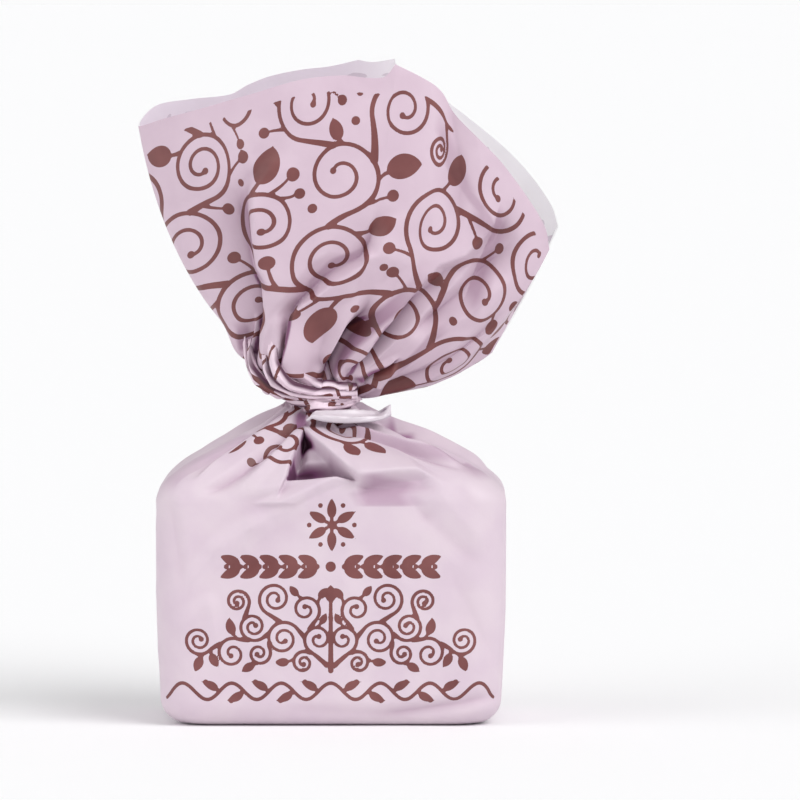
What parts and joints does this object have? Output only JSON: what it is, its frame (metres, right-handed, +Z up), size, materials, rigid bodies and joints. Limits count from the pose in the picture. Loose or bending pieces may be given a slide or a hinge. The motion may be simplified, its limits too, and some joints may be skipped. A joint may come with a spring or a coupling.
{
  "type": "wrapped chocolate truffle",
  "caption": "Block-shaped chocolate truffle in lilac scroll-printed paper, twisted shut above the body, with the paper ends flared open like a fan and a fold of white lining paper at the neck.",
  "frame": {"origin": "middle of the flat base that the wrapped truffle stands on", "axes": "+Z up through the twist and the flare, -Y the printed front, +X the right side seen from the front"},
  "size_m": [0.0388, 0.0227, 0.0606],
  "materials": {
    "paper": "smooth lilac paper with a soft sheen and brown scroll print",
    "lining": "thin glossy white lining paper"
  },
  "bodies": {
    "root": {"wrapper": "paper", "liner": "lining"}
  },
  "joints": []
}
